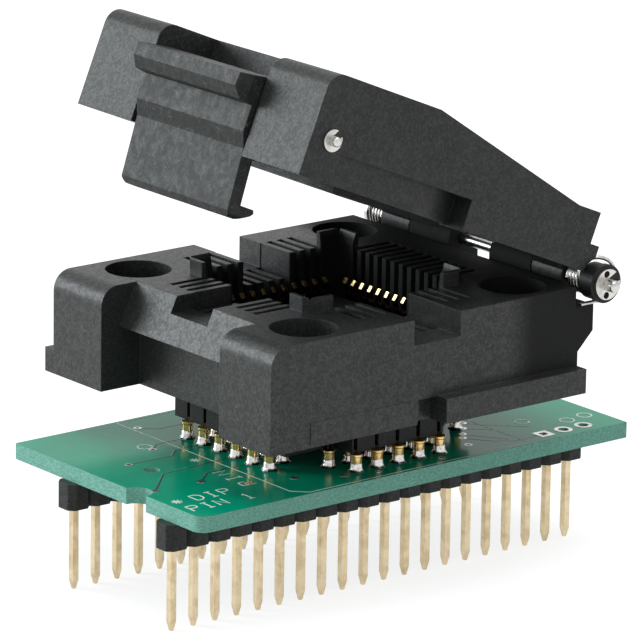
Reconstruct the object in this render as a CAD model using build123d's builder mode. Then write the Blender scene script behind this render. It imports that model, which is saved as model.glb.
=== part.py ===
"""A PLCC to DIP adapter: a lidded chip socket on a small circuit board with two rows of pins.

Frame: X runs along the pin rows, Y across them, Z up. The origin is the middle of the two
rows, in the plane of the pin tips. The socket's hinge is at its +X end and the latch at its
-X end. The lid stands partly open. All sizes are in millimetres.
"""
import os
from math import atan2, cos, degrees, radians, sin, sqrt

from build123d import *

# Pin rows that plug into the host board
PIN_PITCH = 2.54
PINS_PER_ROW = 20
ROW_SPACING = 15.24
PIN_SIDE = 0.64
PIN_TIP_SIDE = 0.30
PIN_TAPER_LENGTH = 0.90
PIN_BURY = 0.90
STRIP_BOTTOM = 8.10
STRIP_HEIGHT = 2.54
STRIP_NOTCH = 0.55
PIN_HOLE_PLAY = 0.02

# Circuit board
BOARD_LEFT = -24.50
BOARD_RIGHT = 27.55
BOARD_NEAR = -12.45
BOARD_FAR = 16.50
BOARD_THICKNESS = 1.57
BOARD_CORNER_R = 1.20
EDGE_NOTCH_R = 1.50
EDGE_NOTCH_Y = -2.60
TOOLING_HOLE = (-19.17, 2.03)
TOOLING_HOLE_R = 0.75
JUMPER_HOLE_R = 0.50
JUMPER_HOLES = 3
JUMPER_FIRST = (18.33, -10.75)

# Receptacles that carry the socket's tails on the board
SOCKET_X = 1.27
SOCKET_Y = 2.03
OUTER_ROW = 11.43
INNER_ROW = 8.89
BARREL_R = 0.60
BARREL_SIDES = 8
BARREL_HEIGHT = 1.70

# Tail guide block under the socket
GUIDE_HALF = 11.30
GUIDE_SIDE_HALF = 8.50
GUIDE_FRONT_HALF = 5.50
GUIDE_HEIGHT = 3.60
GUIDE_SLOT_DEPTH = 0.65

# Socket body
DECK_HEIGHT = 10.20
BODY_HALF_WIDTH = 16.80
BODY_FRONT = 19.67
BODY_WALL_END = 17.15
HORN_GAP = 18.26
HORN_DEPTH = 4.60
HORN_ROUND = 1.90
NOSE_TOP_IN = 4.15
NOSE_LIP_IN = 2.20
NOSE_LIP_RISE = 6.10
SIDE_NOTCH_WIDTH = 5.60
SIDE_NOTCH_DEPTH = 2.45
FRONT_NOTCH_DEPTH = 1.60
CORNER_HOLE_R = 3.20
CORNER_HOLE_OFFSET = 12.67
CORNER_HOLE_DEPTH = 6.50
SKIRT_OUT = 1.35
SKIRT_HEIGHT = 2.40
NEAR_SKIRT_START = 0.20
BAND_OUT = 0.10
BAND_START = -15.00
BAND_END = -2.20
BAND_RISE = 0.35
UNDERCUT_START = -2.20
UNDERCUT_DEPTH = 1.10

# Chip cavity
CHIP_HALF = 8.90
SEAT_HALF = 6.60
SEAT_DROP = 4.30
CAVITY_DROP = 8.20
CONTACT_PITCH = 1.27
CONTACTS_PER_SIDE = 11
SLOT_WIDTH = 0.66
SLOT_REACH = 13.40
POST_INNER = 6.70
POST_OUTER = 9.60
POST_CHAMFER = 1.00
POST_HEIGHT = 1.45
POST_LEAD_IN = 0.30
POST_STRAIGHT = 0.30

# Contacts
STRIP_THICKNESS = 0.22
STRIP_WIDTH = 0.42
TIP_REACH = 7.50
TIP_DROP = 3.25
TIP_LEAD_IN = 0.50
TIP_SLANT = 0.45
ARM_IN = 0.35
ARM_STEP = 0.20
TAIL_OUTER = 10.80
ARM_ROOT_RISE = 1.10
TAIL_BEND = 0.50

# Hinge
AXIS_FROM_CENTRE = 19.88
AXIS_ABOVE_DECK = 0.16
HINGE_PIN_R = 0.60
HINGE_PLAY = 0.05
RAIL_DROP = 2.16
RAIL_BEHIND = 19.38
RAIL_CHAMFER_TOP = 4.55
RAIL_CHAMFER = 1.85
KNUCKLE_R = 1.85
KNUCKLE_INNER = 3.00
KNUCKLE_SPLIT = 9.10
KNUCKLE_IN = 3.25
KNUCKLE_GAP = 0.15
SPRING_WIRE_R = 0.20
SPRING_COIL_R = 1.38
SPRING_TURNS = 4
SPRING_PITCH = 0.44
SPRING_STEPS = 10
SPRING_HOOK_R = 2.28
SPRING_HOOK_OUT = 1.04
SPRING_LEG = 2.10
BUSHING_R = 1.78
BUSHING_IN = 0.80
BUSHING_LENGTH = 1.30
WASHER_R = 1.88
WASHER_THICKNESS = 0.60
CLIP_R = 1.50
CLIP_THICKNESS = 0.30
CLIP_WINDOW_R = 0.34
CLIP_GRIP_GAP = 0.01
CLIP_MOUTH = 1.00
CLIP_MOUTH_TURN = 28
SIDE_PLAY = 0.02
PIN_END = 1.30
PIN_DOME = 0.40
PIN_HEAD_R = 1.65
PIN_HEAD_LENGTH = 0.60
PIN_HEAD_CHAMFER = 0.18

# Lid, drawn in its own frame: u from the front face back, v up from the underside
LID_OPEN = 22.7
LID_TO_AXIS = 40.0
AXIS_UNDER_LID = 0.44
LID_SIDE_PROUD = 0.05
LID_TOP = 9.86
LID_FRONT_ROUND = 1.70
LID_SLOPE_START = 14.0
LID_SLOPE_END = 34.5
LID_REAR_TOP = 5.82
LID_REAR = 37.45
LID_STEP_V = 2.72
HEEL_TO_AXIS = 1.35
LID_ARC_R = 2.40
LID_WALL = 1.80
LID_ROOF = 1.80
LID_HOLLOW_START = 8.70
LID_HOLLOW_END = 32.2
PUSHER_HALF = 7.00
PUSHER_PROUD = 0.45
PUSHER_RECESS = 3.40
PUSHER_RECESS_DEPTH = 1.50
POCKET_START = 4.0
POCKET_END = 21.2
POCKET_TOP = 2.95
POCKET_DEPTH = 2.40
POCKET_CURVE = 7.00
POCKET_CREST = 2.40
POCKET_DIP = 0.35
POCKET_BELLY = 0.95
POCKET_SHALLOW = 0.25

# Latch
LATCH_HALF_WIDTH = 8.10
LATCH_SIDE_GAP = 0.35
LATCH_SLOT_BACK = 6.90
LATCH_AXIS_U = 2.47
LATCH_AXIS_V = 3.88
LATCH_PIN_R = 0.50
LATCH_BOSS_R = 1.35
LATCH_TOE_V = -5.72
LATCH_CORNER_R = 0.60
LEDGE_REACH = 2.78
LEDGE_TOP_V = 7.24
LEDGE_FACE_V = 5.95
LEDGE_FOOT_V = 4.90
LEDGE_ROUND = 0.50
LEDGE_BEVEL = 1.60
GRIP_LINE_R = 0.07
GRIP_LINE_IN = 0.21
GRIP_LINE_DOWN = 0.17
LATCH_GAP_HALF = 2.40
LATCH_GAP_FRONT = 1.05
LATCH_GAP_REACH = 2.00
LATCH_SPRING_WIRE_R = 0.16
LATCH_SPRING_COIL_R = 0.86
LATCH_SPRING_TURNS = 5
LATCH_SPRING_STEPS = 8
LATCH_CLIP_R = 1.05
LATCH_CLIP_THICKNESS = 0.22
LATCH_PIN_PAST = 0.85
LATCH_PIN_DOME = 0.35
LATCH_CLIP_MOUTH = 0.80
LATCH_CLIP_TURN = 55

# Clearance between faces that meet, how far joined forms reach into each other, and how far a
# cutter runs past the face it cuts
CLEAR = 0.02
OVERLAP = 0.10
PAST = 1.0

# Levels and places that follow from the sizes above
STRIP_TOP = STRIP_BOTTOM + STRIP_HEIGHT
BOARD_BOTTOM = STRIP_TOP
BOARD_TOP = BOARD_BOTTOM + BOARD_THICKNESS
GUIDE_BOTTOM = BOARD_TOP + BARREL_HEIGHT
BODY_BOTTOM = GUIDE_BOTTOM + GUIDE_HEIGHT
DECK = BODY_BOTTOM + DECK_HEIGHT
CAVITY_FLOOR = DECK - CAVITY_DROP
SEAT_TOP = DECK - SEAT_DROP
AXIS_X = SOCKET_X + AXIS_FROM_CENTRE
AXIS_Z = DECK + AXIS_ABOVE_DECK
RAIL_TOP = AXIS_Z - RAIL_DROP
PIN_BORE_R = HINGE_PIN_R + HINGE_PLAY
TIP_Z = DECK - TIP_DROP
LID_HALF_WIDTH = BODY_HALF_WIDTH + LID_SIDE_PROUD
LATCH_SLOT_HALF = LATCH_HALF_WIDTH + LATCH_SIDE_GAP
KNUCKLE_OUTER = BODY_HALF_WIDTH - KNUCKLE_IN
SPRING_START = KNUCKLE_OUTER + KNUCKLE_GAP
BUSHING_START = BODY_HALF_WIDTH - BUSHING_IN
WASHER_START = BUSHING_START + BUSHING_LENGTH + SIDE_PLAY
CLIP_START = WASHER_START + WASHER_THICKNESS + SIDE_PLAY
PIN_NEAR_END = CLIP_START + CLIP_THICKNESS + PIN_END
LATCH_CLIP_START = LID_HALF_WIDTH + SIDE_PLAY
LATCH_PIN_HALF = LATCH_CLIP_START + LATCH_CLIP_THICKNESS + LATCH_PIN_PAST
SIDES = (-1, 1)

os.makedirs("parts", exist_ok=True)


def keep(builder, name):
    """Label a finished piece and write it out."""
    builder.part.label = name
    export_step(builder.part, f"parts/{name}.step")


def socket_plane(height):
    """A level plane at a height, with its origin on the socket's middle line."""
    return Plane(origin=(SOCKET_X, SOCKET_Y, height), x_dir=(1, 0, 0), z_dir=(0, 0, 1))


def socket_side(across):
    """An upright plane at a distance across the socket: local x along +X, local y up from z = 0."""
    return Plane(origin=(SOCKET_X, SOCKET_Y + across, 0), x_dir=(1, 0, 0), z_dir=(0, -1, 0))


def axis_plane(across):
    """A plane square to the hinge axis, centred on it: local x along +X, local y up."""
    return Plane(origin=(AXIS_X, SOCKET_Y + across, AXIS_Z), x_dir=(1, 0, 0), z_dir=(0, -1, 0))


def lid_point(u, across, v):
    """A point of the lid's own frame, where the lid stands open."""
    tilt = radians(LID_OPEN)
    along, up = u - LID_TO_AXIS, v + AXIS_UNDER_LID
    return (
        AXIS_X + along * cos(tilt) + up * sin(tilt),
        SOCKET_Y + across,
        AXIS_Z - along * sin(tilt) + up * cos(tilt),
    )


def lid_side(across):
    """A plane along the lid's side: local x is u, local y is v."""
    tilt = radians(LID_OPEN)
    return Plane(origin=lid_point(0, across, 0), x_dir=(cos(tilt), 0, -sin(tilt)), z_dir=(0, -1, 0))


def lid_level(v):
    """A plane along the lid's underside, v above it: local x is u, local y runs across."""
    tilt = radians(LID_OPEN)
    return Plane(
        origin=lid_point(0, 0, v),
        x_dir=(cos(tilt), 0, -sin(tilt)),
        z_dir=(sin(tilt), 0, cos(tilt)),
    )


def lid_front(u):
    """A plane square to the lid's length at u: local x runs across, local y is v."""
    tilt = radians(LID_OPEN)
    return Plane(origin=lid_point(u, 0, 0), x_dir=(0, 1, 0), z_dir=(cos(tilt), 0, -sin(tilt)))


def span(side, start, length):
    """The plane offset and the extrusion that fill start to start + length on one side."""
    return side * start, -side * length


def strip_outline(points, thickness):
    """Corners of a bent strip of even thickness that follows a line of points."""
    half = thickness / 2
    left, right = [], []
    for i, (x, y) in enumerate(points):
        before = points[max(i - 1, 0)]
        after = points[min(i + 1, len(points) - 1)]
        a = atan2(y - before[1], x - before[0]) if i else atan2(after[1] - y, after[0] - x)
        b = atan2(after[1] - y, after[0] - x) if i < len(points) - 1 else a
        middle = (a + b) / 2
        reach = half / cos((b - a) / 2)
        left.append((x - reach * sin(middle), y + reach * cos(middle)))
        right.append((x + reach * sin(middle), y - reach * cos(middle)))
    return left + right[::-1]


# Circuit board, with the plated jumper holes, the tooling hole and the half-round edge notch
board_middle_x = (BOARD_LEFT + BOARD_RIGHT) / 2
board_middle_y = (BOARD_NEAR + BOARD_FAR) / 2
with BuildPart() as circuit_board:
    with BuildSketch(Plane.XY.offset(BOARD_BOTTOM)):
        with Locations((board_middle_x, board_middle_y)):
            Rectangle(BOARD_RIGHT - BOARD_LEFT, BOARD_FAR - BOARD_NEAR)
        with Locations((BOARD_LEFT, EDGE_NOTCH_Y)):
            Circle(EDGE_NOTCH_R, mode=Mode.SUBTRACT)
        with Locations(TOOLING_HOLE):
            Circle(TOOLING_HOLE_R, mode=Mode.SUBTRACT)
        for k in range(JUMPER_HOLES):
            with Locations((JUMPER_FIRST[0] + k * PIN_PITCH, JUMPER_FIRST[1])):
                Circle(JUMPER_HOLE_R, mode=Mode.SUBTRACT)
    extrude(amount=BOARD_THICKNESS)
    with BuildSketch(Plane.XY.offset(BOARD_BOTTOM)):
        for side in SIDES:
            with Locations((0, side * ROW_SPACING / 2)):
                with GridLocations(PIN_PITCH, 1, PINS_PER_ROW, 1):
                    Rectangle(PIN_SIDE + PIN_HOLE_PLAY, PIN_SIDE + PIN_HOLE_PLAY)
    extrude(amount=PIN_BURY, mode=Mode.SUBTRACT)
    corner = circuit_board.edges().filter_by(Axis.Z).group_by(Axis.X)[0].sort_by(Axis.Y)[0]
    fillet(corner, BOARD_CORNER_R)
keep(circuit_board, "circuit_board")

# One pin: a square bar with a tapered, blunt tip
with BuildPart(mode=Mode.PRIVATE) as dip_pin:
    with BuildSketch(Plane.XY.offset(PIN_TAPER_LENGTH)):
        Rectangle(PIN_SIDE, PIN_SIDE)
    extrude(amount=STRIP_TOP + PIN_BURY - PIN_TAPER_LENGTH)
    pin_taper = degrees(atan2((PIN_SIDE - PIN_TIP_SIDE) / 2, PIN_TAPER_LENGTH))
    extrude(dip_pin.faces().sort_by(Axis.Z)[0], amount=PIN_TAPER_LENGTH, taper=pin_taper)

# Pin strips and their pins, one pair on each side
for side, word in zip(SIDES, ("near", "far")):
    row_y = side * ROW_SPACING / 2
    with BuildPart() as header_strip:
        with BuildSketch(Plane.XY.offset(STRIP_BOTTOM)):
            with Locations((0, row_y)):
                with GridLocations(PIN_PITCH, 1, PINS_PER_ROW, 1):
                    notch = STRIP_NOTCH
                    half = PIN_PITCH / 2
                    Polygon(
                        (-half, notch - half), (notch - half, -half), (half - notch, -half),
                        (half, notch - half), (half, half - notch), (half - notch, half),
                        (notch - half, half), (-half, half - notch),
                    )
                    Rectangle(PIN_SIDE + PIN_HOLE_PLAY, PIN_SIDE + PIN_HOLE_PLAY, mode=Mode.SUBTRACT)
        extrude(amount=STRIP_HEIGHT)
    keep(header_strip, f"header_strip_{word}")

    with BuildPart() as dip_pins:
        with Locations((0, row_y)):
            with GridLocations(PIN_PITCH, 1, PINS_PER_ROW, 1):
                add(dip_pin.part)
    keep(dip_pins, f"dip_pins_{word}")


# Where the contacts stand along one side, and which of them have an outer tail
def side_stations():
    """Offset along the side and tail kind of each contact."""
    middle = (CONTACTS_PER_SIDE - 1) / 2
    return [((k - middle) * CONTACT_PITCH, k % 2 == 0) for k in range(CONTACTS_PER_SIDE)]


# Each side's outward direction; even stations of the left and right sides have outer tails,
# and even stations of the near and far sides have inner ones
SIDE_TURNS = {"right": 0, "far": 90, "left": 180, "near": 270}


def tail_row(word, even):
    """Distance from the middle of the socket to the receptacle of one contact."""
    outer = even if word in ("left", "right") else not even
    return OUTER_ROW if outer else INNER_ROW


def turned(word, out, along, height):
    """Row-frame point that lies out from the middle and along one side of the socket."""
    turn = radians(SIDE_TURNS[word])
    return (
        SOCKET_X + out * cos(turn) - along * sin(turn),
        SOCKET_Y + out * sin(turn) + along * cos(turn),
        height,
    )


for word in SIDE_TURNS:
    with BuildPart() as receptacles:
        with BuildSketch(Plane.XY.offset(BOARD_TOP)):
            for along, even in side_stations():
                with Locations(turned(word, tail_row(word, even), along, 0)[:2]):
                    RegularPolygon(BARREL_R, BARREL_SIDES)
        extrude(amount=BARREL_HEIGHT)
    keep(receptacles, f"receptacles_{word}")

# Tail guide block in the form of a cross, with an open slot for each outer tail and a hole for
# each inner one
with BuildPart() as tail_guide:
    with BuildSketch(socket_plane(GUIDE_BOTTOM)):
        Rectangle(2 * GUIDE_HALF, 2 * GUIDE_SIDE_HALF)
        Rectangle(2 * GUIDE_FRONT_HALF, 2 * GUIDE_HALF)
    extrude(amount=GUIDE_HEIGHT)
    for word, turn in SIDE_TURNS.items():
        with BuildSketch(Plane.XY.offset(GUIDE_BOTTOM)):
            for along, even in side_stations():
                out = tail_row(word, even)
                if out == OUTER_ROW:
                    with Locations(Location(turned(word, GUIDE_HALF - GUIDE_SLOT_DEPTH / 2, along, 0), turn)):
                        Rectangle(GUIDE_SLOT_DEPTH, STRIP_WIDTH + PIN_HOLE_PLAY)
                else:
                    with Locations(Location(turned(word, out, along, 0), turn)):
                        Rectangle(STRIP_THICKNESS + PIN_HOLE_PLAY, STRIP_WIDTH + PIN_HOLE_PLAY)
        extrude(amount=GUIDE_HEIGHT, mode=Mode.SUBTRACT)
keep(tail_guide, "tail_guide")

# Contacts: a tail down to the receptacle and a spring arm that leans into the chip cavity
arm_root = CAVITY_FLOOR + ARM_ROOT_RISE
inner_line = [
    (INNER_ROW, GUIDE_BOTTOM),
    (INNER_ROW, arm_root),
    (TIP_REACH + STRIP_THICKNESS / 2, TIP_Z),
    (TIP_REACH + TIP_SLANT, TIP_Z + TIP_LEAD_IN),
]
tail_foot = GUIDE_HALF - STRIP_THICKNESS / 2 - CLEAR
outer_line = [
    (tail_foot, GUIDE_BOTTOM),
    (tail_foot, GUIDE_BOTTOM + TAIL_BEND / 2),
    (TAIL_OUTER, GUIDE_BOTTOM + 1.5 * TAIL_BEND),
    (TAIL_OUTER, arm_root - TAIL_BEND),
    (INNER_ROW + ARM_IN, arm_root + ARM_STEP),
] + inner_line[2:]
for word, turn in SIDE_TURNS.items():
    with BuildPart() as contacts:
        for along, even in side_stations():
            line = outer_line if tail_row(word, even) == OUTER_ROW else inner_line
            middle = turned(word, 0, along, 0)
            outward = (cos(radians(turn)), sin(radians(turn)), 0)
            sideways = (sin(radians(turn)), -cos(radians(turn)), 0)
            with BuildSketch(Plane(origin=middle, x_dir=outward, z_dir=sideways)):
                Polygon(*strip_outline(line, STRIP_THICKNESS), align=None)
            extrude(amount=STRIP_WIDTH / 2, both=True)
    keep(contacts, f"contacts_{word}")

# Socket body, outside: block, horns, latch nose, hinge rail and skirts
horn_inner = HORN_GAP / 2
nose_top = -BODY_FRONT + NOSE_TOP_IN
nose_lip = -BODY_FRONT + NOSE_LIP_IN
recess = -BODY_FRONT + HORN_DEPTH
with BuildPart() as socket_body:
    with BuildSketch(socket_side(0)):
        with BuildLine():
            Polyline(
                (-BODY_FRONT, BODY_BOTTOM),
                (-BODY_FRONT, DECK),
                (BODY_WALL_END, DECK),
                (BODY_WALL_END, RAIL_TOP),
                (RAIL_BEHIND, RAIL_TOP),
                (RAIL_BEHIND, DECK - RAIL_CHAMFER_TOP),
                (RAIL_BEHIND - RAIL_CHAMFER, DECK - RAIL_CHAMFER_TOP - RAIL_CHAMFER),
                (RAIL_BEHIND - RAIL_CHAMFER, BODY_BOTTOM),
                close=True,
            )
        make_face()
    extrude(amount=BODY_HALF_WIDTH, both=True)
    front_top = socket_body.edges().filter_by(Axis.Y).group_by(Axis.Z)[-1].sort_by(Axis.X)[0]
    fillet(front_top, HORN_ROUND)
    # gap between the horns, cut back to the sloped nose that the latch hooks under
    with BuildSketch(socket_side(0)):
        with BuildLine():
            Polyline(
                (-BODY_FRONT - PAST, BODY_BOTTOM - PAST),
                (-BODY_FRONT - PAST, DECK + PAST),
                (nose_top, DECK + PAST),
                (nose_top, DECK),
                (nose_lip, BODY_BOTTOM + NOSE_LIP_RISE),
                (recess, BODY_BOTTOM + NOSE_LIP_RISE),
                (recess, BODY_BOTTOM - PAST),
                close=True,
            )
        make_face()
    extrude(amount=horn_inner, both=True, mode=Mode.SUBTRACT)
    # skirts along the lower edge: the far one starts at the front, the near one behind the middle
    skirt_end = RAIL_BEHIND - RAIL_CHAMFER
    with BuildSketch(socket_plane(BODY_BOTTOM)):
        with Locations(((-BODY_FRONT + NEAR_SKIRT_START) / 2, BODY_HALF_WIDTH + SKIRT_OUT / 2)):
            Rectangle(BODY_FRONT + NEAR_SKIRT_START, SKIRT_OUT)
        with Locations(((NEAR_SKIRT_START + skirt_end) / 2, -BODY_HALF_WIDTH - SKIRT_OUT / 2)):
            Rectangle(skirt_end - NEAR_SKIRT_START, SKIRT_OUT)
    extrude(amount=SKIRT_HEIGHT)
    with BuildSketch(socket_plane(BODY_BOTTOM + BAND_RISE)):
        with Locations(((BAND_START + BAND_END) / 2, -BODY_HALF_WIDTH - BAND_OUT / 2)):
            Rectangle(BAND_END - BAND_START, BAND_OUT)
    extrude(amount=SKIRT_HEIGHT - BAND_RISE)
    # recess under the near edge between the band and the skirt
    with BuildSketch(socket_plane(BODY_BOTTOM)):
        with Locations(((UNDERCUT_START + NEAR_SKIRT_START) / 2, -BODY_HALF_WIDTH + UNDERCUT_DEPTH / 2)):
            Rectangle(NEAR_SKIRT_START - UNDERCUT_START, UNDERCUT_DEPTH)
    extrude(amount=SKIRT_HEIGHT, mode=Mode.SUBTRACT)
    # corner posts that guide the chip
    with BuildSketch(socket_plane(DECK)):
        for sx in SIDES:
            for sy in SIDES:
                Polygon(
                    (sx * POST_INNER, sy * POST_INNER),
                    (sx * POST_OUTER, sy * POST_INNER),
                    (sx * POST_OUTER, sy * (POST_OUTER - POST_CHAMFER)),
                    (sx * (POST_OUTER - POST_CHAMFER), sy * POST_OUTER),
                    (sx * POST_INNER, sy * POST_OUTER),
                    align=None,
                )
    extrude(amount=POST_HEIGHT)
    # chip cavity with its seat, and the lead-in between the posts
    with BuildSketch(socket_plane(CAVITY_FLOOR)):
        Rectangle(2 * CHIP_HALF, 2 * CHIP_HALF)
        Rectangle(2 * SEAT_HALF, 2 * SEAT_HALF, mode=Mode.SUBTRACT)
    extrude(amount=CAVITY_DROP + POST_HEIGHT, mode=Mode.SUBTRACT)
    with BuildSketch(socket_plane(SEAT_TOP)):
        Rectangle(2 * SEAT_HALF, 2 * SEAT_HALF)
    extrude(amount=SEAT_DROP + POST_HEIGHT, mode=Mode.SUBTRACT)
    with BuildSketch(socket_plane(DECK + POST_STRAIGHT)):
        Rectangle(2 * CHIP_HALF, 2 * CHIP_HALF)
    with BuildSketch(socket_plane(DECK + POST_HEIGHT)):
        Rectangle(2 * (CHIP_HALF + POST_LEAD_IN), 2 * (CHIP_HALF + POST_LEAD_IN))
    loft(mode=Mode.SUBTRACT)
    # contact slots, and the tail openings through the floor below them
    for word, turn in SIDE_TURNS.items():
        with BuildSketch(Plane.XY.offset(CAVITY_FLOOR)):
            for along, even in side_stations():
                centre = turned(word, (CHIP_HALF + SLOT_REACH) / 2, along, 0)
                with Locations(Location(centre, turn)):
                    Rectangle(SLOT_REACH - CHIP_HALF + 2 * OVERLAP, SLOT_WIDTH)
        extrude(amount=CAVITY_DROP, mode=Mode.SUBTRACT)
        with BuildSketch(Plane.XY.offset(BODY_BOTTOM)):
            for along, even in side_stations():
                out = TAIL_OUTER if tail_row(word, even) == OUTER_ROW else INNER_ROW
                with Locations(Location(turned(word, out, along, 0), turn)):
                    Rectangle(STRIP_THICKNESS + PIN_HOLE_PLAY, STRIP_WIDTH + PIN_HOLE_PLAY)
        extrude(amount=CAVITY_FLOOR - BODY_BOTTOM, mode=Mode.SUBTRACT)
    # finger notches in the side walls and the wider one through the nose
    with BuildSketch(socket_plane(DECK - SIDE_NOTCH_DEPTH)):
        for side in SIDES:
            with Locations((0, side * (BODY_HALF_WIDTH + CHIP_HALF) / 2)):
                Rectangle(SIDE_NOTCH_WIDTH, BODY_HALF_WIDTH - CHIP_HALF + PAST)
    extrude(amount=SIDE_NOTCH_DEPTH + PAST, mode=Mode.SUBTRACT)
    with BuildSketch(socket_plane(DECK - FRONT_NOTCH_DEPTH)):
        with Locations((-(BODY_FRONT + CHIP_HALF) / 2, 0)):
            Rectangle(BODY_FRONT - CHIP_HALF + PAST, SIDE_NOTCH_WIDTH)
    extrude(amount=FRONT_NOTCH_DEPTH + PAST, mode=Mode.SUBTRACT)
    # round wells at the four corners
    with BuildSketch(socket_plane(DECK)):
        with GridLocations(2 * CORNER_HOLE_OFFSET, 2 * CORNER_HOLE_OFFSET, 2, 2):
            Circle(CORNER_HOLE_R)
    extrude(amount=-CORNER_HOLE_DEPTH, mode=Mode.SUBTRACT)
    # knuckles that carry the hinge pin
    for side in SIDES:
        start, length = span(side, KNUCKLE_INNER, KNUCKLE_SPLIT - KNUCKLE_INNER)
        with BuildSketch(axis_plane(start)):
            Circle(KNUCKLE_R)
            with Locations((0, (RAIL_TOP - AXIS_Z) / 2 - OVERLAP)):
                Rectangle(2 * KNUCKLE_R, AXIS_Z - RAIL_TOP + 2 * OVERLAP)
            Circle(PIN_BORE_R, mode=Mode.SUBTRACT)
        extrude(amount=length)
keep(socket_body, "socket_body")

# Hinge pin: a head at the far end, a domed tip at the near end
head_start = BUSHING_START + SIDE_PLAY
with BuildPart() as hinge_pin:
    with BuildSketch(axis_plane(-PIN_NEAR_END)):
        Circle(HINGE_PIN_R)
    extrude(amount=-(PIN_NEAR_END + head_start))
    tip = hinge_pin.edges().filter_by(GeomType.CIRCLE).sort_by(Axis.Y)[0]
    fillet(tip, PIN_DOME)
    with BuildSketch(axis_plane(head_start)):
        Circle(PIN_HEAD_R)
    extrude(amount=-PIN_HEAD_LENGTH)
    rim = hinge_pin.edges().filter_by(GeomType.CIRCLE).sort_by(Axis.Y)[-1]
    chamfer(rim, PIN_HEAD_CHAMFER)
keep(hinge_pin, "hinge_pin")

# Collars on the pin's near end: bushing, washer and retaining clip
COLLARS = {
    "hinge_bushing": (BUSHING_START, BUSHING_LENGTH, BUSHING_R),
    "hinge_washer": (WASHER_START, WASHER_THICKNESS, WASHER_R),
}
for name, (start_at, thickness, outer_r) in COLLARS.items():
    with BuildPart() as collar:
        with BuildSketch(axis_plane(-start_at)):
            Circle(outer_r)
            Circle(PIN_BORE_R, mode=Mode.SUBTRACT)
        extrude(amount=thickness)
    keep(collar, name)

with BuildPart() as hinge_clip:
    with BuildSketch(axis_plane(-CLIP_START)):
        Circle(CLIP_R)
        Circle(HINGE_PIN_R + CLIP_GRIP_GAP, mode=Mode.SUBTRACT)
        with Locations(Location((0, 0), CLIP_MOUTH_TURN)):
            Rectangle(CLIP_R, CLIP_MOUTH, align=(Align.MIN, Align.CENTER), mode=Mode.SUBTRACT)
        window_at = (CLIP_R + HINGE_PIN_R) / 2
        with PolarLocations(window_at, 2, start_angle=100, angular_range=320):
            Circle(CLIP_WINDOW_R, mode=Mode.SUBTRACT)
    extrude(amount=CLIP_THICKNESS)
keep(hinge_clip, "hinge_clip")


# Torsion springs: a close coil round the hinge pin, whose outer turn opens into a hook that
# passes over the bushing or head and ends in a leg on the rail. HOOK_TURN gives the angle and
# how far the hook has risen and moved out there
HOOK_TURN = (
    (158, 0.20, 0.0), (136, 0.52, 0.04), (114, 0.80, 0.16), (92, 0.96, 0.50), (68, 1.0, 0.85), (44, 1.0, 1.0),
)
for side, word in zip(SIDES, ("near", "far")):
    across = SPRING_START + SPRING_WIRE_R + CLEAR
    route_points = []
    for step in range(SPRING_TURNS * SPRING_STEPS + 1):
        turn = radians(180 - 360 * step / SPRING_STEPS)
        out = across + SPRING_PITCH * step / SPRING_STEPS
        route_points.append((SPRING_COIL_R * cos(turn), out, SPRING_COIL_R * sin(turn)))
    coil_end = across + SPRING_PITCH * SPRING_TURNS
    for angle, rise, out in HOOK_TURN:
        radius = SPRING_COIL_R + (SPRING_HOOK_R - SPRING_COIL_R) * rise
        turn = radians(angle)
        route_points.append((radius * cos(turn), coil_end + SPRING_HOOK_OUT * out, radius * sin(turn)))
    leg_drop = AXIS_Z - RAIL_TOP - SPRING_WIRE_R - CLEAR
    hook_out = coil_end + SPRING_HOOK_OUT
    for angle in (20, -4, -28, -52, -74):
        radius = leg_drop + (SPRING_HOOK_R - leg_drop) * (angle + 90) / (44 + 90)
        turn = radians(angle)
        route_points.append((radius * cos(turn), hook_out, radius * sin(turn)))
    route_points.append((0, hook_out, -leg_drop))
    route_points.append((-SPRING_LEG, hook_out, -leg_drop))
    with BuildPart() as torsion_spring:
        with BuildLine() as wire:
            Polyline(*[(AXIS_X + x, SOCKET_Y + side * y, AXIS_Z + z) for x, y, z in route_points])
        with BuildSketch(wire.line ^ 0):
            RegularPolygon(SPRING_WIRE_R, 6)
        sweep(path=wire.line, transition=Transition.RIGHT)
    keep(torsion_spring, f"torsion_spring_{word}")

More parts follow.
